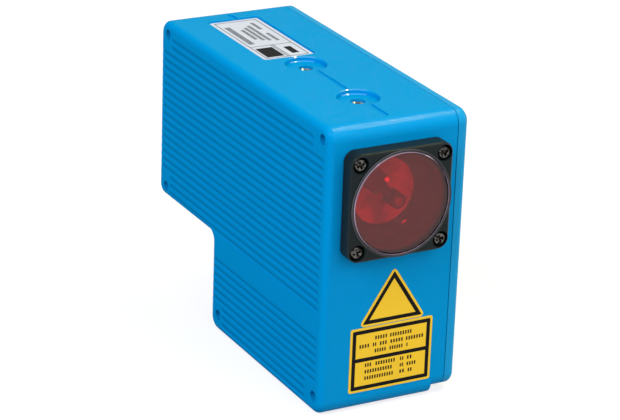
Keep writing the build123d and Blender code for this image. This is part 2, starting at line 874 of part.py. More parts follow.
with BuildPart() as power_ribbon:
    ribbon_strip(facing_front(y_link), [
        (x_header_face, z_power_link),
        (x_header_face + ribbon_reach, z_power_link),
        (x_header_face + ribbon_reach, z_main_link),
        (x_header_face, z_main_link),
    ])

with BuildPart() as connector_ribbon:
    ribbon_strip(Plane.XY.offset(connector_height), [
        (x_connector_header, y_connector_board - board_thickness - header_height),
        (x_connector_header, y_connector_turn),
        (x_header_face, y_connector_turn),
    ])

# Parts on the main board, in columns from the front: shield, processor, memory
y_timing = y_main_front + timing_inset + timing_width / 2
y_processor = y_timing + timing_width / 2 + part_gap + processor_size / 2
y_memory = y_processor + processor_size / 2 + part_gap + memory_width / 2
with BuildPart() as main_chips:
    with BuildSketch(facing_right(x_board_face)):
        with Locations((y_processor, main_board_place[1])):
            Rectangle(processor_size, processor_size)
    extrude(amount=processor_height)
    with BuildSketch(facing_right(x_board_face)):
        with Locations((y_memory, main_board_place[1])):
            with GridLocations(memory_width, memory_spacing, 1, memory_count):
                Rectangle(memory_width, memory_length)
    extrude(amount=memory_height)

with BuildPart() as timing_shield:
    with BuildSketch(facing_right(x_board_face)):
        with Locations((y_timing, main_board_place[1])):
            Rectangle(timing_width, timing_length)
    extrude(amount=timing_height)
    with BuildSketch(facing_right(x_board_face)):
        with Locations((y_timing, main_board_place[1])):
            Rectangle(timing_width - 2 * shield_wall, timing_length - 2 * shield_wall)
    extrude(amount=timing_height - shield_wall, mode=Mode.SUBTRACT)

# Parts on the power board
y_transformer = y_power_front + 2 * board_post_inset + transformer_length / 2
with BuildPart() as power_transformer:
    with BuildSketch(facing_right(x_board_face)):
        with Locations((y_transformer, power_board_place[1])):
            Rectangle(transformer_length, transformer_width)
    extrude(amount=transformer_height)
    with BuildSketch(facing_right(x_board_face)):
        with Locations((y_transformer, power_board_place[1])):
            Rectangle(transformer_core, transformer_width + transformer_core)
    extrude(amount=transformer_height - transformer_core / 2)

with BuildPart() as filter_capacitors:
    with BuildSketch(facing_right(x_board_face)):
        with Locations((y_transformer + transformer_length / 2 + part_gap + capacitor_radius,
                        power_board_place[1])):
            with GridLocations(capacitor_spacing, capacitor_spacing, 1, capacitor_count):
                Circle(capacitor_radius)
    extrude(amount=capacitor_height)
    chamfer(filter_capacitors.edges().group_by(Axis.X)[-1], length=capacitor_chamfer)

# Connector shell: rear thread, hexagonal flange, nose with a socket
y_flange = y_step + seal_thickness
y_nose = y_flange + connector_flange_thickness
y_mouth = y_nose + connector_nose_length
y_socket = y_mouth - socket_depth
connector_axis = Axis((x_mount, 0, connector_height), (0, 1, 0))
connector_section = Plane((x_mount, 0, connector_height), x_dir=(1, 0, 0), z_dir=(0, 0, 1))
insert_bore = insert_body_radius + insert_body_clearance
with BuildPart() as connector_shell:
    with BuildSketch(connector_section):
        with BuildLine():
            Polyline(
                (insert_bore, y_thread_end),
                (connector_thread_radius, y_thread_end),
                (connector_thread_radius, y_flange),
                (connector_flange_radius, y_flange),
                (connector_flange_radius, y_nose),
                (connector_nose_radius, y_nose),
                (connector_nose_radius, y_mouth - connector_nose_chamfer),
                (connector_nose_radius - connector_nose_chamfer, y_mouth),
                (socket_radius, y_mouth),
                (socket_radius, y_socket),
                (insert_bore, y_socket),
                close=True,
            )
        make_face()
    revolve(axis=connector_axis)
    # Two spanner flats on the flange
    with BuildSketch(facing_front(y_nose)):
        with Locations((x_mount, connector_height)):
            Rectangle(2 * connector_flange_radius, 2 * connector_flange_radius)
            Rectangle(2 * connector_flat, 2 * connector_flange_radius, mode=Mode.SUBTRACT)
    extrude(amount=connector_flange_thickness, mode=Mode.SUBTRACT)

with BuildPart() as connector_seal:
    with BuildSketch(facing_front(y_flange)):
        with Locations((x_mount, connector_height)):
            Circle(connector_flat)
            Circle(connector_thread_radius + thread_clearance, mode=Mode.SUBTRACT)
    extrude(amount=seal_thickness)

with BuildPart() as connector_nut:
    with BuildSketch(facing_front(y_step - shell_wall)):
        with Locations((x_mount, connector_height)):
            RegularPolygon(nut_width / 2, 6, major_radius=False)
            Circle(connector_thread_radius + thread_clearance, mode=Mode.SUBTRACT)
    extrude(amount=nut_thickness)

# Insulating insert with its contact pins
with BuildPart() as connector_insert:
    with BuildSketch(facing_front(y_socket)):
        with Locations((x_mount, connector_height)):
            Circle(insert_body_radius)
            with PolarLocations(pin_circle_radius, pin_count):
                Circle(pin_radius + thread_clearance, mode=Mode.SUBTRACT)
    extrude(amount=y_socket - y_thread_end)

with BuildPart() as connector_pins:
    with BuildSketch(facing_front(y_socket + pin_reach)):
        with Locations((x_mount, connector_height)):
            with PolarLocations(pin_circle_radius, pin_count):
                Circle(pin_radius)
    extrude(amount=pin_reach + y_socket - y_connector_board)

with BuildPart() as connector_board:
    with BuildSketch(facing_front(y_connector_board)):
        with Locations((x_mount, connector_height)):
            Rectangle(connector_board_size, connector_board_size)
    extrude(amount=board_thickness)

# White type label in the recess on top, and the two yellow films under the bezel
triangle_top = window_height - bezel_width / 2 - triangle_drop
triangle_base = triangle_top - triangle_height
frame_film_top = triangle_base - frame_film_gap
with BuildPart() as type_label:
    with BuildSketch(Plane.XY.offset(body_height - label_recess_depth)):
        with Locations((x_label, y_front + label_centre)):
            RectangleRounded(label_width, label_length, label_corner)
    extrude(amount=film_thickness)

with BuildPart() as triangle_film:
    with BuildSketch(facing_front(y_front)) as triangle_sketch:
        with BuildLine():
            Polyline(
                (x_film - triangle_width / 2, triangle_base),
                (x_film + triangle_width / 2, triangle_base),
                (x_film, triangle_top),
                close=True,
            )
        make_face()
        fillet(triangle_sketch.vertices(), radius=triangle_corner)
    extrude(amount=film_thickness)

with BuildPart() as frame_film:
    with BuildSketch(facing_front(y_front)):
        with Locations((x_film, (frame_film_base + frame_film_top) / 2)):
            RectangleRounded(frame_film_width, frame_film_top - frame_film_base, frame_film_corner)
    extrude(amount=film_thickness)

pieces = {
    "housing": housing,
    "thread_inserts": thread_inserts,
    "side_cover": side_cover,
    "cover_gasket": cover_gasket,
    "cover_screws": cover_screws,
    "bezel": bezel,
    "bezel_gasket": bezel_gasket,
    "bezel_screws": bezel_screws,
    "window_glass": window_glass,
    "window_seal": window_seal,
    "optics_block": optics_block,
    "receiver_lens": receiver_lens,
    "lens_ring": lens_ring,
    "emitter_arm": emitter_arm,
    "laser_diode": laser_diode,
    "collimator_lens": collimator_lens,
    "folding_prism": folding_prism,
    "detector_board": detector_board,
    "photo_detector": photo_detector,
    "detector_shield": detector_shield,
    "detector_screws": detector_screws,
    "power_board": power_board,
    "main_board": main_board,
    "board_screws": board_screws,
    "board_headers": board_headers,
    "detector_ribbon": detector_ribbon,
    "power_ribbon": power_ribbon,
    "connector_ribbon": connector_ribbon,
    "main_chips": main_chips,
    "timing_shield": timing_shield,
    "power_transformer": power_transformer,
    "filter_capacitors": filter_capacitors,
    "connector_shell": connector_shell,
    "connector_seal": connector_seal,
    "connector_nut": connector_nut,
    "connector_insert": connector_insert,
    "connector_pins": connector_pins,
    "connector_board": connector_board,
    "type_label": type_label,
    "triangle_film": triangle_film,
    "frame_film": frame_film,
}

for name, piece in pieces.items():
    piece.part.label = name
    export_step(piece.part, f"parts/{name}.step")
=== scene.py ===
import math

import bmesh
import bpy
from bpy.props import FloatProperty, FloatVectorProperty, IntProperty, PointerProperty
from mathutils import Matrix, Vector


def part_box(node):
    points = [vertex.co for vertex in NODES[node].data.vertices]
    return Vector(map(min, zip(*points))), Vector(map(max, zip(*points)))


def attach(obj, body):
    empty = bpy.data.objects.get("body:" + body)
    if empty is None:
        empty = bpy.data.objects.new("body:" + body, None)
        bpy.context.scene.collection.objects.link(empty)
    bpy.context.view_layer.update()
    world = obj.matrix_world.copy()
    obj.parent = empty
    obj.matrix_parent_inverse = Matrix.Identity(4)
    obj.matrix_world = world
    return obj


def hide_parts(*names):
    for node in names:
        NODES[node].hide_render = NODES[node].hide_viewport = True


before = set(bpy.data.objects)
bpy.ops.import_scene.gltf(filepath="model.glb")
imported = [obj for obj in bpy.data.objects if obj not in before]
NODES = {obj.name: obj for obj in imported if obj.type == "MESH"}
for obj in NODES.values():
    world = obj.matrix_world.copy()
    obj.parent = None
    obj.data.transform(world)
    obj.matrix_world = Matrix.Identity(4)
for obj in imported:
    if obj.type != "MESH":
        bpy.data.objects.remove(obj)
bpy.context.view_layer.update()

bl_info = {
    "name": "Laser Distance Sensor",
    "version": (1, 0, 0),
    "blender": (4, 5, 0),
    "location": "View3D > Sidebar > Distance Sensor",
    "description": "Finishes, printed films, threads and studio for the packed distance sensor",
    "category": "Object",
}

MM = 0.001
# Points closer than this are taken as one
TINY = 1e-7
# Edges that turn by more than this stay sharp on smooth pieces
SHARP = math.radians(35)


def scaled(colour, share):
    """The colour made darker or lighter by a share."""
    return tuple(share * part for part in colour)


def colour_property(name, description, default):
    return FloatVectorProperty(name=name, description=description, default=default,
                               subtype="COLOR", size=3, min=0.0, max=1.0)


def length_property(name, description, default):
    return FloatProperty(name=name, description=description, default=default * MM,
                         unit="LENGTH", subtype="DISTANCE", precision=5)


def amount_property(name, description, default, **kind):
    return FloatProperty(name=name, description=description, default=default, min=0.0, **kind)


class SensorFinishes(bpy.types.PropertyGroup):
    """Colours and gloss of the sensor's finishes."""
    blue: colour_property("Blue paint", "Colour of the painted casting", (0.0, 0.318, 0.68))
    blue_shade: colour_property("Blue shade", "Second blue that the paint drifts to",
                                (0.0, 0.3, 0.65))
    # Painted light: the cover's own blue, made a little lighter than the housing's for the light
    # its rounded right edge catches.
    cover_blue_lit: colour_property("Cover paint", "Colour of the painted cover", (0.006, 0.34, 0.68))
    # Painted shade: how much the paint is darkened in the grooves of the left side.
    painted_groove_shade: amount_property("Groove shade", "How dark the grooves are", 0.22, max=1.0)
    moulding: colour_property("Black moulding", "Colour of the window frame's glossy sides",
                              (0.008, 0.014, 0.014))
    # Painted light on the window frame: the paler face colour is partly a matt finish and partly
    # painted sheen, and the pale lip colour is a painted highlight.
    eroded_face_and_sheen: colour_property("Eroded face", "Colour of the window frame's matt face",
                            (0.05, 0.053, 0.049))
    painted_lip_highlight: colour_property("Worn lip", "Colour of the rubbed edge round the window",
                              (0.17, 0.165, 0.19))
    lip_gap: length_property("Lip gap", "From the glass to the rubbed edge round it", 0.95)
    filter_red: colour_property("Filter glass", "Colour that the window lets through",
                                (0.9, 0.03, 0.05))
    glass_edge: colour_property("Glass edge", "Colour of the coating on the ground edge",
                                (0.27, 0.22, 0.29))
    # Painted highlight: the pale colour of the coated glass edge at its lower right.
    glass_edge_highlight: colour_property("Edge light", "Colour of the frosted part of the edge",
                                (0.62, 0.58, 0.72))
    film_yellow: colour_property("Yellow film", "Colour of the front films", (1.0, 0.66, 0.035))
    film_white: colour_property("White film", "Colour of the type label", (0.62, 0.66, 0.76))
    print_black: colour_property("Printing ink", "Colour of the printed rules",
                                 (0.006, 0.006, 0.007))
    paint_roughness: amount_property("Paint roughness", "How matt the blue paint is", 0.36, max=1.0)


class SensorPrint(bpy.types.PropertyGroup):
    """Sizes of the printed frames and rules."""
    ink: length_property("Ink thickness", "How far the print stands on its film", 0.03)
    frame_line: length_property("Frame line", "Width of the black frames", 1.4)
    frame_inset: length_property("Frame inset", "Yellow edge outside the black frames", 0.85)
    corner_reach: length_property("Corner reach",
                                  "How far the triangle's sharp corners pass its round ones", 1.0)
    corner_round: length_property("Corner rounding", "Rounding of the frames' corners", 0.45)
    label_line: length_property("Label line", "Width of the fine rules on the label", 0.25)
    label_margin: length_property("Label margin", "White edge outside the label's rules", 1.4)
    first_row: length_property("First row", "From the line above to the first row's middle", 2.2)
    row_step: length_property("Row step", "Distance between rows on the yellow film", 2.45)
    row_height: length_property("Row height", "Height of the blank rows on the films", 1.35)
    row_pitch: length_property("Row pitch", "Distance between the strokes of a blank row", 1.0)


class SensorTurned(bpy.types.PropertyGroup):
    """Sizes of the threads, the glass edge and the runs of lacquer."""
    coil_pitch: length_property("Coil pitch", "Rise of one turn in the screw points", 0.8)
    coil_depth: length_property("Coil depth", "Depth of the thread in the screw points", 0.4)
    coil_sink: length_property("Coil sink", "How far the coil starts inside its hole", 1.0)
    nose_pitch: length_property("Nose pitch", "Rise of one turn on the connector", 1.0)
    nose_depth: length_property("Nose depth", "Depth of the thread on the connector", 0.5)
    insert_outer: length_property("Insert radius", "Outer radius of a threaded insert", 2.6)
    insert_core: length_property("Insert core", "Core radius of a threaded insert", 2.1)
    insert_length: length_property("Insert length", "Length of a threaded insert", 8.0)
    nose_radius: length_property("Nose radius", "Radius under the connector's thread", 9.0)
    nose_start: length_property("Thread start", "From the connector's end to the thread's far end",
                                11.0)
    nose_end: length_property("Thread end", "From the connector's end to its thread", 1.6)
    spot_radius: length_property("Spot radius", "Radius of the spot faces on top", 7.5)
    run_reach: length_property("Run width", "Width of a run of lacquer on a spot face", 0.55)
    run_rise: length_property("Run height", "Height of a run of lacquer on a spot face", 0.36)
    edge_width: length_property("Glass edge", "Width of the ground edge of the window", 0.55)
    skin: length_property("Skin", "How far the coating of the glass stands proud", 0.04)
    segments: IntProperty(name="Segments", description="Steps round a turned piece",
                          default=72, min=12, max=256)


class SensorStudio(bpy.types.PropertyGroup):
    """Camera and light."""
    lens: FloatProperty(name="Lens", description="Focal length", default=152.06,
                        min=10.0, max=400.0, subtype="DISTANCE_CAMERA")
    camera_at: FloatVectorProperty(name="Camera", description="Where the camera stands",
                                   default=(-0.4204, -0.7673, 0.4), size=3,
                                   unit="LENGTH", subtype="TRANSLATION")
    look: FloatVectorProperty(name="View", description="Direction that the camera looks in",
                              default=(0.4467, 0.8139, -0.3715), size=3, subtype="DIRECTION")
    up: FloatVectorProperty(name="Up", description="Direction that is up in the picture",
                            default=(0.1462, 0.3433, 0.9278), size=3, subtype="DIRECTION")
    key_power: amount_property("Key light", "Power of the lamp at the front right", 6.5,
                               unit="POWER")
    strip_power: amount_property("Strip light", "Power of the strip overhead that draws the edges",
                                 3.8, unit="POWER")
    fill_power: amount_property("Fill light", "Power of the lamp high up at the left", 9.2,
                                unit="POWER")
    rim_power: amount_property("Rim light", "Power of the lamp at the right", 3.0, unit="POWER")
    ambient: amount_property("Ambient", "Strength of the room light", 0.35)
    key_tint: colour_property("Key tint", "Tint of the key light", (1.0, 0.85, 1.0))
    strip_tint: colour_property("Strip tint", "Tint of the strip light", (1.0, 1.0, 0.4))
    rim_tint: colour_property("Rim tint", "Tint of the rim light", (1.0, 1.0, 0.8))
    fill_tint: colour_property("Fill tint", "Tint of the fill light", (0.78, 0.84, 1.0))
    floor: colour_property("Floor", "Colour of the floor", (0.35, 0.35, 0.35))
    floor_glow: amount_property("Floor glow", "How much the floor shines by itself", 0.75)


# Node helpers
class NodeBench:
    """Adds and links nodes in one material or group."""

    def __init__(self, tree):
        self.tree = tree

    def add(self, kind, *links, **settings):
        """A node with its settings; each link is (input, socket or value)."""
        node = self.tree.nodes.new(kind)
        for name, value in settings.items():
            setattr(node, name, value)
        for name, value in links:
            if isinstance(value, bpy.types.NodeSocket):
                self.tree.links.new(value, node.inputs[name])
            else:
                node.inputs[name].default_value = value
        return node

    def math(self, operation, a, b=0.0):
        return self.add("ShaderNodeMath", (0, a), (1, b), operation=operation).outputs[0]

    def near(self, value, middle, width):
        """1 where a value is within a width of the middle."""
        return self.add("ShaderNodeMath", (0, value), (1, middle), (2, width),
                        operation="COMPARE").outputs[0]

    def ramp(self, value, start, end, low=0.0, high=1.0):
        """Maps a value between start and end to low and high."""
        return self.add("ShaderNodeMapRange", ("Value", value), ("From Min", start),
                        ("From Max", end), ("To Min", low), ("To Max", high),
                        clamp=True).outputs["Result"]

    def blend(self, mask, first, second):
        """Mixes two colours, each a socket or three numbers."""
        pair = [c if isinstance(c, bpy.types.NodeSocket) else (*c, 1.0) for c in (first, second)]
        return self.add("ShaderNodeMix", (0, mask), (6, pair[0]), (7, pair[1]),
                        data_type="RGBA").outputs[2]

    def axes(self, place):
        """The X, Y and Z of a place."""
        return self.add("ShaderNodeSeparateXYZ", (0, place)).outputs

    def vector(self, operation, a, b, result=0):
        node = self.add("ShaderNodeVectorMath", (0, a), (1, b), operation=operation)
        return node.outputs[result]

    def seen_rays(self):
        """1 for rays that show the background: from the camera, off gloss and through glass."""
        paths = self.add("ShaderNodeLightPath").outputs
        return self.math("MAXIMUM", paths["Is Camera Ray"],
                         self.math("MAXIMUM", paths["Is Glossy Ray"], paths["Is Transmission Ray"]))

    def link(self, value, socket):
        self.tree.links.new(value, socket)


def new_group(name, inputs, outputs):
    """A shader node group; inputs are (name, kind, default), outputs (name, kind)."""
    group = bpy.data.node_groups.new(name, "ShaderNodeTree")
    for label, kind, default in inputs:
        socket = group.interface.new_socket(name=label, in_out="INPUT", socket_type=kind)
        if default is not None:
            socket.default_value = default
    for label, kind in outputs:
        group.interface.new_socket(name=label, in_out="OUTPUT", socket_type=kind)
    bench = NodeBench(group)
    return bench, bench.add("NodeGroupInput"), bench.add("NodeGroupOutput")


def surface_relief_group():
    """Fine relief of a surface: a broad wave and a fine grain, as a height."""
    bench, given, result = new_group(
        "Surface Relief",
        [("Vector", "NodeSocketVector", None), ("Wave Scale", "NodeSocketFloat", 700.0),
         ("Grain Scale", "NodeSocketFloat", 4000.0), ("Grain Share", "NodeSocketFloat", 0.3)],
        [("Height", "NodeSocketFloat")],
    )
    wave = bench.add("ShaderNodeTexNoise", ("Vector", given.outputs["Vector"]),
                     ("Scale", given.outputs["Wave Scale"]), ("Detail", 2.0), ("Roughness", 0.5))
    grain = bench.add("ShaderNodeTexNoise", ("Vector", given.outputs["Vector"]),
                      ("Scale", given.outputs["Grain Scale"]), ("Detail", 3.0),
                      ("Roughness", 0.6))
    mixed = bench.add("ShaderNodeMix", (0, given.outputs["Grain Share"]),
                      (2, wave.outputs[0]), (3, grain.outputs[0]))
    bench.link(mixed.outputs[0], result.inputs["Height"])


def handling_group():
    """Faint cloudiness from dust and hands: a mask from 0 to 1."""
    bench, given, result = new_group(
        "Handling Marks",
        [("Vector", "NodeSocketVector", None), ("Size", "NodeSocketFloat", 40.0),
         ("Spread", "NodeSocketFloat", 0.25)],
        [("Mask", "NodeSocketFloat")],
    )
    cloud = bench.add("ShaderNodeTexNoise", ("Vector", given.outputs["Vector"]),
                      ("Scale", given.outputs["Size"]), ("Detail", 6.0), ("Roughness", 0.62))
    low = bench.math("SUBTRACT", 0.5, given.outputs["Spread"])
    high = bench.math("ADD", 0.5, given.outputs["Spread"])
    bench.link(bench.ramp(cloud.outputs[0], low, high), result.inputs["Mask"])


class Finish:
    """One finish: a Principled surface with clouded colour and gloss and a fine relief."""

    def __init__(self, name, base, shade, roughness, metallic=0.0, specular=0.5):
        self.material = bpy.data.materials.new(name)
        self.material.use_nodes = True
        self.bench = NodeBench(self.material.node_tree)
        self.shader = self.material.node_tree.nodes["Principled BSDF"]
        self.give(Metallic=metallic, Specular_IOR_Level=specular)
        self.place = self.bench.add("ShaderNodeTexCoord").outputs["Object"]
        self.base, self.shade, self.roughness = base, shade, roughness

    def cover(self, *names):
        """Puts the finish on CAD nodes."""
        for name in names:
            slots = NODES[name].data.materials
            slots.clear()
            slots.append(self.material)

    def socket(self, name):
        return self.shader.inputs[name]

    def give(self, **values):
        """Sets sockets of the shader; an underscore stands for a space."""
        for name, value in values.items():
            self.socket(name.replace("_", " ")).default_value = value

    def colour(self):
        """What feeds the base colour."""
        return self.socket("Base Color").links[0].from_socket

    def drive(self, name, value):
        """Lets a value that changes over the surface feed a socket of the shader."""
        self.bench.link(value, self.socket(name))

    def place_group(self, name, *values):
        """A shared node group set on the object's own coordinates."""
        return self.bench.add("ShaderNodeGroup", ("Vector", self.place), *values,
                              node_tree=bpy.data.node_groups[name]).outputs[0]

    def cloud(self, size=40.0, spread=0.25, swing=0.06):
        """Lets the colour drift from base to shade, and the gloss by swing."""
        mask = self.place_group("Handling Marks", ("Size", size), ("Spread", spread))
        self.drive("Base Color", self.bench.blend(mask, self.base, self.shade))
        self.drive("Roughness", self.bench.ramp(mask, 0.0, 1.0, self.roughness - swing,
                                                self.roughness + swing))
        return self

    def sparkle(self, least, most, grain=1500.0, start=0.48, end=0.62, gloss=0.22):
        """Breaks the clear top coat into specks between two weights."""
        height = self.place_group("Surface Relief", ("Wave Scale", grain))
        self.drive("Coat Weight", self.bench.ramp(height, start, end, least, most))
        self.give(Coat_Roughness=gloss)
        return self

    def relief(self, strength, wave=700.0, grain=4000.0, share=0.3, distance=0.0001):
        """Adds the fine relief as a bump."""
        height = self.place_group("Surface Relief", ("Wave Scale", wave), ("Grain Scale", grain),
                                  ("Grain Share", share))
        bump = self.bench.add("ShaderNodeBump", ("Strength", strength), ("Distance", distance),
                              ("Height", height))
        self.drive("Normal", bump.outputs["Normal"])
        return self


def new_object(name, bm, material):
    """Makes a bmesh into an object with one material."""
    mesh = bpy.data.meshes.new(name)
    bm.to_mesh(mesh)
    bm.free()
    mesh.materials.append(material)
    made = bpy.data.objects.new(name, mesh)
    bpy.context.scene.collection.objects.link(made)
    return made


def add_piece(name, bm, finish, smooth=False):
    """Makes a bmesh into a finished piece that rides on the sensor."""
    bmesh.ops.remove_doubles(bm, verts=bm.verts, dist=TINY)
    bmesh.ops.recalc_face_normals(bm, faces=bm.faces)
    for face in bm.faces:
        face.smooth = smooth
    piece = new_object(name, bm, finish.material)
    if smooth:
        piece.data.set_sharp_from_angle(angle=SHARP)
    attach(piece, "root")
    return piece


def turned(bm, profile, steps, start=0, end=360, x=0.0, y=0.0):
    """Spins a closed profile of (radius, height) points round an upright axis, in degrees."""
    first, sweep, whole = math.radians(start), math.radians(end - start), end - start == 360
    verts = [bm.verts.new((x + radius * math.cos(first), y + radius * math.sin(first), height))
             for radius, height in profile]
    edges = [bm.edges.new((verts[i], verts[(i + 1) % len(verts)])) for i in range(len(verts))]
    spun = bmesh.ops.spin(bm, geom=verts + edges, cent=(x, y, 0.0), axis=(0.0, 0.0, 1.0),
                          angle=sweep, steps=steps, use_merge=whole)
    if not whole:
        last = [item for item in spun["geom_last"] if isinstance(item, bmesh.types.BMEdge)]
        bmesh.ops.contextual_create(bm, geom=edges)
        bmesh.ops.contextual_create(bm, geom=last)


def thread_profile(outer, root, crest, low, high, pitch):
    """Closed profile of a threaded ring: a plain wall on one side, turns on the other."""
    points = [(outer, high), (outer, low)]
    turns = int((high - low) / pitch)
    rise = (high - low) / turns
    margin = 0.05 * rise
    for turn in range(turns):
        points += [(root, low + rise * turn + margin), (crest, low + rise * (turn + 0.5))]
    points.append((root, high - margin))
    return points


def to_rear(bm, x, y, z):
    """Lays a turned piece down, so that its height runs to the rear from y."""
    turn = Matrix.Rotation(math.radians(-90), 4, "X")
    bmesh.ops.transform(bm, verts=bm.verts, matrix=Matrix.Translation((x, y, z)) @ turn)


# Finishes that later steps use again
FINISHES = {}


class SENSOR_OT_paint_casting(bpy.types.Operator):
    """Satin blue paint with a faint orange peel on the housing and its cover"""
    bl_idname = "sensor.paint_casting"
    bl_label = "Paint Casting"

    def execute(self, context):
        look = context.scene.sensor_finishes
        paint = self.mix_paint("Blue Paint", look.blue, look.blue_shade, look.paint_roughness)
        paint.sparkle(0.05, 0.22)
        self.paint_shade_in_grooves(paint, look.painted_groove_shade)
        self.gloss_edge(paint)
        paint.cover("housing")
        # The cover's slightly lighter blue is painted light for its lit right edge.
        plate = self.mix_paint("Cover Paint", look.cover_blue_lit, scaled(look.cover_blue_lit, 0.95),
                               look.paint_roughness)
        plate.sparkle(0.15, 0.4)
        plate.cover("side_cover")
        return {"FINISHED"}

    def mix_paint(self, name, base, shade, roughness):
        """Clouded paint with a fine orange peel."""
        paint = Finish(name, base, shade, roughness, specular=0.0)
        return paint.cloud(size=28.0, spread=0.3, swing=0.05).relief(0.25, wave=900.0,
                                                                     grain=2600.0)

    def gloss_edge(self, paint):
        """Thickens the clear coat along the top front edge and thins it on the left side."""
        bench, low, high = paint.bench, *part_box("housing")
        back, down = 1.8 * MM, 0.6 * MM
        glossy_within, plain_beyond, most = 1.4 * MM, 2.6 * MM, 2.5
        dull_until, plain_from, least = 0.7 * MM, 2.5 * MM, 0.15
        flat = bench.vector("MULTIPLY", paint.place, (0.0, 1.0, 1.0))
        away = bench.vector("DISTANCE", flat, (0.0, low.y + back, high.z - down), "Value")
        gain = bench.ramp(away, plain_beyond, glossy_within, 1.0, most)
        across = bench.axes(paint.place)["X"]
        dull = bench.ramp(across, low.x + dull_until, low.x + plain_from, least, 1.0)
        coat = paint.socket("Coat Weight").links[0].from_socket
        paint.drive("Coat Weight", bench.math("MULTIPLY", bench.math("MULTIPLY", coat, dull), gain))

    def paint_shade_in_grooves(self, paint, darkness):
        """Paints shade into the grooves of the left side by darkening the paint there."""
        bench, low, high = paint.bench, *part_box("housing")
        lit_until, dark_from, deepest = 0.05 * MM, 0.45 * MM, 0.6 * MM
        front, rear, top = 3.2 * MM, 2.5 * MM, 4.5 * MM
        across, along, up = bench.axes(paint.place)
        # Painted shade: the paint is darkened towards the groove floors.
        mask = bench.ramp(across, low.x + lit_until, low.x + dark_from, 0.0, darkness)
        for operation, socket, limit in (
            ("LESS_THAN", across, low.x + deepest), ("LESS_THAN", up, high.z - top),
            ("GREATER_THAN", along, low.y + front), ("LESS_THAN", along, high.y - rear),
        ):
            mask = bench.math("MULTIPLY", mask, bench.math(operation, socket, limit))
        paint.drive("Base Color", bench.blend(mask, paint.colour(), (0.0, 0.0, 0.0)))


class SENSOR_OT_finish_bezel(bpy.types.Operator):
    """Black moulding with fine spark erosion, painted sheen on its face and painted highlights on
    its edges, and dark screws on the window frame
    """
    bl_idname = "sensor.finish_bezel"
    bl_label = "Finish Bezel"

    def execute(self, context):
        look = context.scene.sensor_finishes
        moulding = Finish("Black Moulding", look.moulding, look.eroded_face_and_sheen, 0.42, specular=0.12)
        moulding.relief(0.1, wave=1500.0, grain=5000.0, share=0.6)
        self.paint_bezel_highlights(moulding, look)
        moulding.cover("bezel")
        screw = Finish("Dark Screw", (0.13, 0.126, 0.12), (0.006, 0.006, 0.006), 0.24,
                       metallic=1.0)
        screw.cloud(size=900.0, spread=0.06, swing=0.06).relief(0.15, wave=1200.0)
        screw.cover("bezel_screws")
        return {"FINISHED"}

    def paint_bezel_highlights(self, moulding, look):
        """A matt face and glossy sides. The face's paler colour is partly its matt finish and
        partly painted sheen; the edge round the window and the border of the face are painted pale
        as highlights.
        """
        bench = moulding.bench
        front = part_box("bezel")[0].y
        low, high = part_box("window_glass")
        glossy_from, matt_until = 0.5 * MM, 0.1 * MM
        highlight_depth, highlight_reach, lip_reach = 0.22 * MM, 0.12 * MM, 0.14 * MM
        depth = bench.axes(moulding.place)["Y"]
        face = bench.ramp(depth, front + glossy_from, front + matt_until)
        flat = bench.vector("MULTIPLY", moulding.place, (1.0, 0.0, 1.0))
        middle = ((low.x + high.x) / 2, 0.0, (low.z + high.z) / 2)
        radius = bench.vector("DISTANCE", flat, middle, "Value")
        # Painted highlights: a thin ring round the window and the border of the face are painted
        # pale.
        lip = bench.near(radius, (high.x - low.x) / 2 + look.lip_gap, lip_reach)
        edge = bench.near(depth, front + highlight_depth, highlight_reach)
        highlighted = bench.math("MAXIMUM", bench.math("MULTIPLY", lip, face), edge)
        # The face's paler colour is partly its matt finish and partly painted sheen.
        colour = bench.blend(face, look.moulding, look.eroded_face_and_sheen)
        moulding.drive("Base Color", bench.blend(highlighted, colour, look.painted_lip_highlight))
        moulding.drive("Roughness", bench.ramp(face, 0.0, 1.0, 0.35, 0.55))


class SENSOR_OT_finish_rubber(bpy.types.Operator):
    """Dull black rubber on the gaskets and seals, with painted light on the top of the cover gasket
    """
    bl_idname = "sensor.finish_rubber"
    bl_label = "Finish Rubber"

    def execute(self, context):
        rubber = Finish("Black Rubber", (0.012, 0.013, 0.015), (0.02, 0.02, 0.022), 0.7,
                        specular=0.3)
        rubber.cloud(size=90.0).relief(0.3, wave=900.0)
        rubber.cover("bezel_gasket", "connector_seal")
        look = context.scene.sensor_finishes
        # Painted light: the top of the cover gasket is painted the housing's blue, standing in for
        # light from above filling the joint.
        gasket_lit_top = Finish("Flooded Gasket", (0.012, 0.013, 0.015), look.blue, 0.6, specular=0.1)
        gasket_lit_top.relief(0.3, wave=900.0)
        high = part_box("cover_gasket")[1].z
        top = gasket_lit_top.bench.ramp(gasket_lit_top.bench.axes(gasket_lit_top.place)["Z"], high - 3 * MM,
                                 high - 1 * MM)
        gasket_lit_top.drive("Base Color", gasket_lit_top.bench.blend(top, gasket_lit_top.base, gasket_lit_top.shade))
        gasket_lit_top.cover("cover_gasket")
        black = Finish("Seal Rubber", (0.002, 0.002, 0.002), (0.004, 0.004, 0.004), 0.9,
                       specular=0.05)
        black.cloud(size=90.0)
        black.cover("window_seal")
        FINISHES["seal"] = black
        return {"FINISHED"}


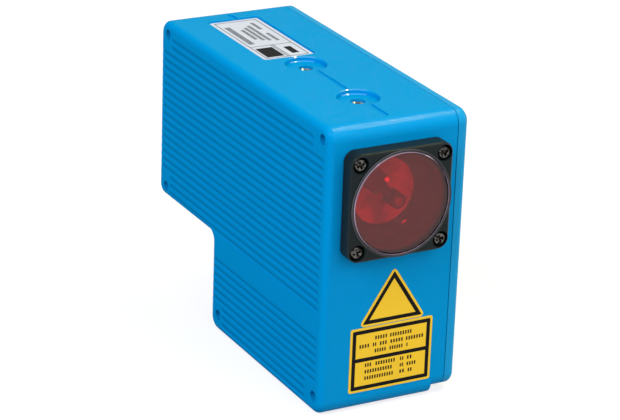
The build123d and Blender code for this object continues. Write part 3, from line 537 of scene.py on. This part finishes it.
class SENSOR_OT_finish_window(bpy.types.Operator):
    """Red filter glass with a coated, ground edge"""
    bl_idname = "sensor.finish_window"
    bl_label = "Finish Window"

    def execute(self, context):
        look = context.scene.sensor_finishes
        glass = Finish("Red Glass", look.filter_red, scaled(look.filter_red, 0.94), 0.03)
        glass.cloud(size=50.0, swing=0.012)
        glass.give(Transmission_Weight=0.97, IOR=1.46)
        self.pass_shadows(glass)
        glass.cover("window_glass")
        self.edge_glass(look, context.scene.sensor_turned)
        return {"FINISHED"}

    def pass_shadows(self, glass):
        """Lets the lamps shine through the glass, a little reddened."""
        bench = glass.bench
        paths = bench.add("ShaderNodeLightPath")
        through = bench.add("ShaderNodeBsdfTransparent", ("Color", (0.95, 0.85, 0.85, 1.0)))
        lit = bench.add("ShaderNodeMixShader", (0, paths.outputs["Is Shadow Ray"]),
                        (1, glass.shader.outputs[0]), (2, through.outputs[0]))
        bench.link(lit.outputs[0], bench.tree.nodes["Material Output"].inputs[0])

    def edge_glass(self, look, sizes):
        """The coated edge, the black band round the glass and a painted shadow line inside the
        edge.
        """
        low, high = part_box("window_glass")
        centre = (low + high) / 2
        radius, rear = (high.x - low.x) / 2, high.y - low.y - sizes.skin
        coating = Finish("Edge Coating", look.glass_edge, scaled(look.glass_edge, 1.2), 0.15,
                         metallic=0.8)
        coating.cloud(size=90.0).relief(0.1, wave=800.0)
        self.paint_glass_highlight(coating, centre, radius, look.glass_edge_highlight)
        width, skin, sunk = sizes.edge_width, sizes.skin, 0.1 * MM
        shadow_out, shadow_width = radius - width - 0.15 * MM, 0.35 * MM
        ground = [(radius - width, 0.0), (radius - width, -skin), (radius + skin, width - skin),
                  (radius, width)]
        wall = [(radius - sunk, width), (radius - sunk, rear), (radius - skin / 2, rear),
                (radius - skin / 2, width)]
        # Painted shadow: a black arc inside the lower right of the edge, where the seat's shade
        # falls.
        line = [(shadow_out, 0.0), (shadow_out, -skin), (shadow_out - shadow_width, -skin),
                (shadow_out - shadow_width, 0.0)]
        for name, profile, steps, start, end, finish, slot_name in (
            ("window_edge", ground, sizes.segments, 0, 360, coating, "red_glass"),
            ("window_band", wall, sizes.segments, 0, 360, FINISHES["seal"], "black_rubber"),
            ("window_line", line, 60, -25, 115, FINISHES["seal"], "black_rubber"),
        ):
            bm = bmesh.new()
            turned(bm, profile, steps, start, end)
            to_rear(bm, centre.x, low.y, centre.z)
            add_piece(name, bm, finish, smooth=True)

    def paint_glass_highlight(self, coating, centre, radius, pale):
        """Paints a highlight on the coated edge: a pale line at its lower right, where light falls.
        """
        bench, slant = coating.bench, 0.7 / radius
        offset = bench.vector("SUBTRACT", coating.place, tuple(centre))
        slope = bench.vector("DOT_PRODUCT", offset, (slant, 0.0, -slant), "Value")
        mask = bench.ramp(slope, start=0.1, end=0.75)
        coating.drive("Base Color", bench.blend(mask, coating.colour(), pale))
        coating.drive("Metallic", bench.ramp(mask, 0.0, 1.0, 0.8, 0.0))


class SENSOR_OT_finish_optics(bpy.types.Operator):
    """Lens carrier, lenses, the emitter and two painted glints behind the window"""
    bl_idname = "sensor.finish_optics"
    bl_label = "Finish Optics"

    # Each painted glint: width and height in mm, turn in degrees, place of its back in mm
    glint_patches = ((1.8, 1.5, 45, (-7.05, -65.6, 86.63)), (2.0, 0.7, -25, (6.1, -56.0, 65.9)))
    glint_thickness = 0.2
    glint_bevel = 0.08

    def execute(self, context):
        carrier = Finish("Carrier Moulding", (0.012, 0.014, 0.012), (0.008, 0.009, 0.008), 0.7,
                         specular=0.04)
        carrier.cloud(size=60.0).relief(0.1, wave=1800.0, grain=5000.0, share=0.5)
        carrier.cover("optics_block", "lens_ring")
        arm = Finish("Arm Moulding", (0.028, 0.03, 0.028), (0.04, 0.042, 0.04), 0.5,
                     specular=0.12)
        arm.cloud(size=120.0).relief(0.3, wave=1500.0)
        arm.cover("emitter_arm")
        lens = Finish("Receiver Glass", (0.44, 0.41, 0.5), (0.22, 0.2, 0.25), 0.12)
        lens.cloud(size=110.0, spread=0.06, swing=0.02)
        lens.give(Transmission_Weight=0.1)
        lens.cover("receiver_lens")
        polished = Finish("Polished Glass", (0.9, 0.92, 0.95), (0.86, 0.89, 0.93), 0.05)
        polished.cloud(size=80.0, swing=0.02)
        polished.give(Transmission_Weight=0.9)
        polished.cover("collimator_lens", "folding_prism")
        self.add_painted_glints()
        return {"FINISHED"}

    def add_painted_glints(self):
        """Two small near-white patches that paint glints: one on the emitter's holder, one beside
        the lens.
        """
        glint_finish = Finish("Bright Clip", (0.95, 0.93, 0.95), (0.85, 0.83, 0.85), 0.25, metallic=0.3)
        glint_finish.cloud(size=300.0)
        bm = bmesh.new()
        for width, height, turn, (x, y, z) in self.glint_patches:
            patch = bmesh.ops.create_cube(bm, size=1.0)["verts"]
            bmesh.ops.scale(bm, verts=patch, vec=Vector((width, self.glint_thickness, height)) * MM)
            edges = list({edge for vert in patch for edge in vert.link_edges})
            patch = bmesh.ops.bevel(bm, geom=edges, offset=self.glint_bevel * MM, affect="EDGES",
                                   segments=2, profile=0.5, material=-1)["verts"]
            place = Vector((x, y - self.glint_thickness / 2, z)) * MM
            bmesh.ops.transform(bm, verts=patch, matrix=Matrix.Translation(place)
                                @ Matrix.Rotation(math.radians(turn), 4, "Y"))
        add_piece("optic_clips", bm, glint_finish)


class SENSOR_OT_finish_metal(bpy.types.Operator):
    """Plain steel, plated brass and nickel on fasteners, cans and the connector"""
    bl_idname = "sensor.finish_metal"
    bl_label = "Finish Metal"

    def execute(self, context):
        steel = Finish("Plain Steel", (0.52, 0.52, 0.53), (0.42, 0.42, 0.44), 0.28, metallic=1.0)
        steel.cloud(size=260.0, swing=0.06).relief(0.12, wave=1400.0)
        steel.cover("thread_inserts", "cover_screws", "detector_screws", "board_screws",
                    "detector_shield", "timing_shield")
        coil = Finish("Coil Steel", (0.4, 0.42, 0.44), (0.1, 0.1, 0.11), 0.2, metallic=1.0)
        coil.cloud(size=700.0, spread=0.12, swing=0.06)
        FINISHES["coil"] = coil
        plated = Finish("Gold Plate", (0.83, 0.6, 0.26), (0.75, 0.52, 0.2), 0.25, metallic=1.0)
        plated.cloud(size=300.0).relief(0.1, wave=1600.0)
        plated.cover("laser_diode", "photo_detector", "connector_pins")
        nickel = Finish("Nickel Plate", (0.72, 0.7, 0.66), (0.64, 0.62, 0.58), 0.24, metallic=1.0)
        nickel.cloud(size=120.0, swing=0.05).relief(0.08, wave=1200.0)
        nickel.cover("connector_shell", "connector_nut")
        FINISHES["nickel"] = nickel
        return {"FINISHED"}


class SENSOR_OT_finish_boards(bpy.types.Operator):
    """Boards, ribbons and the parts that stand on them"""
    bl_idname = "sensor.finish_boards"
    bl_label = "Finish Boards"

    def execute(self, context):
        for name, base, shade, roughness, nodes in (
            ("Board Resist", (0.02, 0.16, 0.07), (0.015, 0.12, 0.05), 0.35,
             ("detector_board", "power_board", "main_board", "connector_board")),
            ("Header Moulding", (0.02, 0.02, 0.022), (0.03, 0.03, 0.03), 0.5,
             ("board_headers", "main_chips", "connector_insert")),
            ("Grey Ribbon", (0.42, 0.43, 0.45), (0.36, 0.37, 0.4), 0.5,
             ("detector_ribbon", "power_ribbon", "connector_ribbon")),
            ("Winding Tape", (0.45, 0.25, 0.05), (0.36, 0.19, 0.04), 0.45,
             ("power_transformer",)),
            ("Capacitor Sleeve", (0.02, 0.03, 0.08), (0.015, 0.02, 0.06), 0.22,
             ("filter_capacitors",)),
        ):
            finish = Finish(name, base, shade, roughness)
            finish.cloud(size=150.0).relief(0.2, wave=1400.0)
            finish.cover(*nodes)
        return {"FINISHED"}


class SENSOR_OT_finish_films(bpy.types.Operator):
    """White and yellow polyester films"""
    bl_idname = "sensor.finish_films"
    bl_label = "Finish Films"

    def execute(self, context):
        look = context.scene.sensor_finishes
        white = Finish("White Film", look.film_white, scaled(look.film_white, 0.95), 0.4,
                       specular=0.2)
        white.cloud(size=50.0).relief(0.05, wave=300.0)
        white.cover("type_label")
        yellow = Finish("Yellow Film", look.film_yellow, scaled(look.film_yellow, 0.96), 0.34,
                        specular=0.15)
        yellow.cloud(size=50.0).relief(0.05, wave=300.0)
        yellow.cover("triangle_film", "frame_film")
        ink = Finish("Printing Ink", look.print_black, scaled(look.print_black, 1.6), 0.6,
                     specular=0.05)
        ink.cloud(size=200.0).relief(0.1, wave=900.0)
        FINISHES["ink"] = ink
        return {"FINISHED"}


# Print is modelled flat with its normal up, then carried to its film
def add_frame(bm, corners, inset, line, rounding, height):
    """A closed line of ink inside an outline; it comes first in its mesh."""
    bm.faces.new([bm.verts.new((*corner, 0.0)) for corner in corners]).normal_update()
    margin = bmesh.ops.inset_region(bm, faces=bm.faces[:], thickness=inset,
                                    use_boundary=True, use_even_offset=True)
    bmesh.ops.delete(bm, geom=margin["faces"], context="FACES")
    bm.normal_update()
    field = bm.faces[:]
    centre = sum((v.co for v in bm.verts), Vector()) / len(bm.verts)
    bmesh.ops.inset_region(bm, faces=field, thickness=line, use_boundary=True,
                           use_even_offset=True)
    bmesh.ops.delete(bm, geom=field, context="FACES")
    bmesh.ops.solidify(bm, geom=bm.faces[:], thickness=height)
    lowest = min(v.co.z for v in bm.verts)
    bmesh.ops.translate(bm, verts=bm.verts, vec=(0.0, 0.0, -lowest))
    if rounding > 0:
        upright = [e for e in bm.edges if (e.verts[0].co - e.verts[1].co).xy.length < TINY]
        upright.sort(key=lambda e: (e.verts[0].co - centre).xy.length)
        bmesh.ops.bevel(bm, geom=upright[len(upright) // 2:], offset=rounding, affect="EDGES",
                        segments=4, profile=0.5, material=-1)


def add_bar(bm, left, right, low, high, height):
    """A plain bar of ink."""
    bar = bmesh.ops.create_cube(bm, size=1.0)
    bmesh.ops.scale(bm, verts=bar["verts"], vec=(right - left, high - low, height))
    bmesh.ops.translate(bm, verts=bar["verts"],
                        vec=((left + right) / 2, (low + high) / 2, height / 2))


def add_row(bm, left, right, low, high, sizes, upright=False):
    """A blank row of short strokes, across the print or up it."""
    first, last = (low, high) if upright else (left, right)
    count = max(1, round((last - first) / sizes.row_pitch))
    step = (last - first) / count
    stroke = 0.55 * step
    for number in range(count):
        start = first + step * number
        end = start + stroke
        if upright:
            add_bar(bm, left, right, start, end, sizes.ink)
        else:
            add_bar(bm, start, end, low, high, sizes.ink)


def to_front(bm, y):
    """Turns a flat print to the front, so that its Y becomes Z, and lays it at depth y."""
    turn = Matrix.Rotation(math.radians(90), 4, "X")
    bmesh.ops.transform(bm, verts=bm.verts, matrix=Matrix.Translation((0.0, y, 0.0)) @ turn)


class SENSOR_OT_print_triangle(bpy.types.Operator):
    """Plain black frame on the triangular film"""
    bl_idname = "sensor.print_triangle"
    bl_label = "Print Triangle"

    def execute(self, context):
        sizes = context.scene.sensor_print
        low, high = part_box("triangle_film")
        middle = (low.x + high.x) / 2
        reach = sizes.corner_reach
        bm = bmesh.new()
        add_frame(bm, [(low.x - reach, low.z), (high.x + reach, low.z), (middle, high.z + reach)],
                  sizes.frame_inset, sizes.frame_line, sizes.corner_round, sizes.ink)
        to_front(bm, low.y)
        add_piece("triangle_frame", bm, FINISHES["ink"])
        return {"FINISHED"}


class SENSOR_OT_print_panel(bpy.types.Operator):
    """Plain black frame, divider and blank rows on the rectangular film"""
    bl_idname = "sensor.print_panel"
    bl_label = "Print Panel"

    # Rows of strokes: where each run starts and ends, as shares of the width inside the frame
    upper_rows = (((0.27, 0.45), (0.48, 0.8)),
                  ((0.05, 0.2), (0.24, 0.3), (0.34, 0.45), (0.49, 0.68), (0.71, 0.97)),
                  ((0.27, 0.44), (0.48, 0.68), (0.72, 0.75)))
    lower_rows = (((0.14, 0.24), (0.29, 0.58), (0.64, 0.7), (0.74, 0.82)),
                  ((0.14, 0.54), (0.64, 0.7), (0.74, 0.88)),
                  ((0.14, 0.56), (0.64, 0.72), (0.76, 0.83)))

    def execute(self, context):
        sizes = context.scene.sensor_print
        low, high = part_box("frame_film")
        bm = bmesh.new()
        add_frame(bm, [(low.x, low.z), (high.x, low.z), (high.x, high.z), (low.x, high.z)],
                  sizes.frame_inset, sizes.frame_line, sizes.corner_round, sizes.ink)
        edge, lap, half = sizes.frame_inset + sizes.frame_line, 0.1 * MM, sizes.row_height / 2
        divider = (low.z + high.z) / 2
        add_bar(bm, low.x + edge - lap, high.x - edge + lap, divider - sizes.frame_line / 2,
                divider + sizes.frame_line / 2, sizes.ink)
        left, inner = low.x + edge, high.x - low.x - 2 * edge
        for rows, top in ((self.upper_rows, high.z - edge), (self.lower_rows, divider)):
            for number, row in enumerate(rows):
                middle = top - sizes.first_row - sizes.row_step * number
                for start, end in row:
                    add_row(bm, left + start * inner, left + end * inner, middle - half,
                            middle + half, sizes)
        to_front(bm, low.y)
        add_piece("panel_frame", bm, FINISHES["ink"])
        return {"FINISHED"}


class SENSOR_OT_print_label(bpy.types.Operator):
    """Fine ruled cells and blank rows on the type label"""
    bl_idname = "sensor.print_label"
    bl_label = "Print Label"

    # Where the rules lie, as shares of the label's length and width
    cross_rule = 0.33
    upright_rules = (0.5, 0.54)
    # Each block: left, right, start and end
    blocks = ((0.12, 0.46, 0.06, 0.28), (0.66, 0.8, 0.09, 0.25))
    # Each column of strokes: middle, half its width, start and end
    columns = ((0.2, 0.055, 0.4, 0.86), (0.4, 0.035, 0.5, 0.76), (0.51, 0.035, 0.46, 0.8),
               (0.62, 0.035, 0.44, 0.84), (0.76, 0.035, 0.42, 0.62), (0.76, 0.035, 0.72, 0.9))

    def execute(self, context):
        sizes = context.scene.sensor_print
        low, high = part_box("type_label")
        width, length = high.x - low.x, high.y - low.y
        line = sizes.label_line
        bm = bmesh.new()
        add_frame(bm, [(low.x, low.y), (high.x, low.y), (high.x, high.y), (low.x, high.y)],
                  sizes.label_margin, line, 0.0, sizes.ink)
        edge = sizes.label_margin + line
        across = low.y + self.cross_rule * length
        add_bar(bm, low.x + edge, high.x - edge, across - line / 2, across + line / 2, sizes.ink)
        for share in self.upright_rules:
            upright = low.x + share * width
            add_bar(bm, upright - line / 2, upright + line / 2, low.y + edge, across, sizes.ink)
        for share, half, start, end in self.columns:
            middle = low.x + share * width
            add_row(bm, middle - half * width, middle + half * width, low.y + start * length,
                    low.y + end * length, sizes, upright=True)
        for left, right, start, end in self.blocks:
            add_bar(bm, low.x + left * width, low.x + right * width, low.y + start * length,
                    low.y + end * length, sizes.ink)
        bmesh.ops.translate(bm, verts=bm.verts, vec=(0.0, 0.0, high.z))
        add_piece("label_rules", bm, FINISHES["ink"])
        return {"FINISHED"}


class SENSOR_OT_bead_spots(bpy.types.Operator):
    """Lacquer that has run together on the rim and in the corner of the two spot faces on top"""
    bl_idname = "sensor.bead_spots"
    bl_label = "Bead Spots"

    def execute(self, context):
        look = context.scene.sensor_finishes
        sizes = context.scene.sensor_turned
        lacquer = Finish("Lacquer Bead", look.blue, look.blue_shade, 0.14)
        lacquer.cloud(size=400.0, spread=0.2, swing=0.05)
        lacquer.give(Coat_Weight=0.6)
        low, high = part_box("thread_inserts")
        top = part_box("housing")[1].z
        insert = (high.x - low.x) / 2
        x, spot = (low.x + high.x) / 2, sizes.spot_radius
        reach, rise, sunk = sizes.run_reach, sizes.run_rise, 0.05 * MM
        rim_foot, corner_foot = top - 0.19 * MM, high.z + 0.01 * MM
        for name, y in (("spot_beads_front", low.y + insert), ("spot_beads_rear", high.y - insert)):
            bm = bmesh.new()
            for inner, foot in ((spot - sunk, rim_foot), (spot - reach, corner_foot)):
                section = [(inner, foot), (inner + reach, foot + rise),
                           (inner + reach, foot - sunk), (inner, foot - sunk)]
                turned(bm, section, steps=24, start=37, end=113, x=x, y=y)
            add_piece(name, bm, lacquer, smooth=True)
        return {"FINISHED"}


class SENSOR_OT_wind_inserts(bpy.types.Operator):
    """Threaded turns in the four screw points"""
    bl_idname = "sensor.wind_inserts"
    bl_label = "Wind Inserts"

    def execute(self, context):
        sizes = context.scene.sensor_turned
        low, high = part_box("thread_inserts")
        outer, core, length = sizes.insert_outer, sizes.insert_core, sizes.insert_length
        x = (low.x + high.x) / 2
        bm = bmesh.new()
        for y in (low.y + outer, high.y - outer):
            for z in (low.z + sizes.coil_sink, high.z - length):
                coil = thread_profile(outer, core + sizes.coil_depth, core, z,
                                      z + length - sizes.coil_sink, sizes.coil_pitch)
                turned(bm, coil, sizes.segments, x=x, y=y)
        piece = add_piece("insert_turns", bm, FINISHES["coil"], smooth=True)
        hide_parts("thread_inserts")
        return {"FINISHED"}


class SENSOR_OT_cut_connector(bpy.types.Operator):
    """Coupling thread round the nose of the connector"""
    bl_idname = "sensor.cut_connector"
    bl_label = "Cut Connector"

    def execute(self, context):
        sizes = context.scene.sensor_turned
        low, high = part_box("connector_shell")
        centre, nose = (low + high) / 2, sizes.nose_radius
        sunk, proud = 0.1 * MM, 0.02 * MM
        bm = bmesh.new()
        turned(bm, thread_profile(nose - sunk, nose + proud, nose + sizes.nose_depth,
                                  high.y - sizes.nose_start, high.y - sizes.nose_end,
                                  sizes.nose_pitch), sizes.segments)
        to_rear(bm, centre.x, 0.0, centre.z)
        add_piece("connector_thread", bm, FINISHES["nickel"], smooth=True)
        return {"FINISHED"}


class SENSOR_OT_set_stage(bpy.types.Operator):
    """Pale floor, soft lamps, room light and the camera"""
    bl_idname = "sensor.set_stage"
    bl_label = "Set Stage"

    # Each lamp: name, place, point that it is aimed at, width and height, all in metres
    lamps = (("key", (0.1, -1.1, 0.7), (0.0, 0.0, 0.05), (0.9, 0.9)),
             ("fill", (-0.83, -0.3, 0.84), (0.0, 0.0, 0.05), (0.6, 0.6)),
             ("strip", (0.5, -0.08, 1.05), (0.0, -0.06, 0.1), (0.7, 0.1)),
             ("rim", (1.0, -0.35, 0.35), (0.02, -0.06, 0.07), (0.5, 0.5)))

    def execute(self, context):
        studio = context.scene.sensor_studio
        self.lay_floor(studio)
        self.hang_lamps(studio)
        self.light_room(context, studio)
        self.place_camera(context, studio)
        context.scene.view_settings.view_transform = "Standard"
        return {"FINISHED"}

    def lay_floor(self, studio):
        """A matt grey floor that shines white where it is seen."""
        pale = Finish("Pale Floor", studio.floor, studio.floor, 0.9, specular=0.0)
        pale.give(Base_Color=(*pale.base, 1.0), Roughness=pale.roughness,
                  Emission_Color=(1.0, 1.0, 1.0, 1.0))
        pale.drive("Emission Strength", pale.bench.math("MULTIPLY", pale.bench.seen_rays(),
                                                        studio.floor_glow))
        bm = bmesh.new()
        bmesh.ops.create_grid(bm, x_segments=2, y_segments=2, size=6.0)
        floor = new_object("floor", bm, pale.material)

    def hang_lamps(self, studio):
        for name, place, aim, size in self.lamps:
            lamp = bpy.data.lights.new(name, "AREA")
            lamp.shape = "RECTANGLE"
            lamp.size, lamp.size_y = size
            lamp.energy = getattr(studio, name + "_power")
            lamp.color = getattr(studio, name + "_tint")
            held = bpy.data.objects.new(name, lamp)
            held.location = place
            aimed = Vector(aim) - Vector(place)
            held.rotation_euler = aimed.to_track_quat("-Z", "Y").to_euler()
            bpy.context.scene.collection.objects.link(held)

    def light_room(self, context, studio):
        """White where it is seen, and dimmer as a light."""
        world = bpy.data.worlds.new("room")
        world.use_nodes = True
        bench = NodeBench(world.node_tree)
        back = world.node_tree.nodes["Background"]
        strength = bench.add("ShaderNodeMix", (0, bench.seen_rays()), (2, studio.ambient),
                             (3, 1.0))
        bench.link(strength.outputs[0], back.inputs["Strength"])
        back.inputs["Color"].default_value = (1.0, 1.0, 1.0, 1.0)
        context.scene.world = world

    def place_camera(self, context, studio):
        data = bpy.data.cameras.new("camera")
        data.sensor_width = 36.0
        data.lens = studio.lens
        data.clip_start = 0.05
        camera = bpy.data.objects.new("camera", data)
        look = Vector(studio.look).normalized()
        up = Vector(studio.up)
        up = (up - look * up.dot(look)).normalized()
        right = look.cross(up)
        turn = Matrix((right, up, -look)).transposed().to_4x4()
        camera.matrix_world = Matrix.Translation(Vector(studio.camera_at)) @ turn
        context.scene.collection.objects.link(camera)
        context.scene.camera = camera


OPERATORS = (
    SENSOR_OT_paint_casting, SENSOR_OT_finish_bezel, SENSOR_OT_finish_rubber,
    SENSOR_OT_finish_window, SENSOR_OT_finish_optics, SENSOR_OT_finish_metal,
    SENSOR_OT_finish_boards, SENSOR_OT_finish_films, SENSOR_OT_print_triangle,
    SENSOR_OT_print_panel, SENSOR_OT_print_label, SENSOR_OT_bead_spots,
    SENSOR_OT_wind_inserts, SENSOR_OT_cut_connector, SENSOR_OT_set_stage,
)
GROUPS = (
    ("sensor_finishes", SensorFinishes), ("sensor_print", SensorPrint),
    ("sensor_turned", SensorTurned), ("sensor_studio", SensorStudio),
)


class SENSOR_PT_workshop(bpy.types.Panel):
    """Lists the steps and their settings"""
    bl_label = "Distance Sensor"
    bl_idname = "SENSOR_PT_workshop"
    bl_space_type = "VIEW_3D"
    bl_region_type = "UI"
    bl_category = "Distance Sensor"

    def draw(self, context):
        for name, group in GROUPS:
            box = self.layout.box()
            box.label(text=group.__doc__)
            settings = getattr(context.scene, name)
            for key in group.__annotations__:
                box.prop(settings, key)
        for operator in OPERATORS:
            self.layout.operator(operator.bl_idname)


def register():
    for _, group in GROUPS:
        bpy.utils.register_class(group)
    for name, group in GROUPS:
        setattr(bpy.types.Scene, name, PointerProperty(type=group))
    for operator in OPERATORS:
        bpy.utils.register_class(operator)
    bpy.utils.register_class(SENSOR_PT_workshop)


def unregister():
    bpy.utils.unregister_class(SENSOR_PT_workshop)
    for operator in reversed(OPERATORS):
        bpy.utils.unregister_class(operator)
    for name, group in GROUPS:
        delattr(bpy.types.Scene, name)
        bpy.utils.unregister_class(group)


def main():
    register()
    surface_relief_group()
    handling_group()
    for operator in OPERATORS:
        family, step = operator.bl_idname.split(".")
        getattr(getattr(bpy.ops, family), step)()


if __name__ == "__main__":
    main()
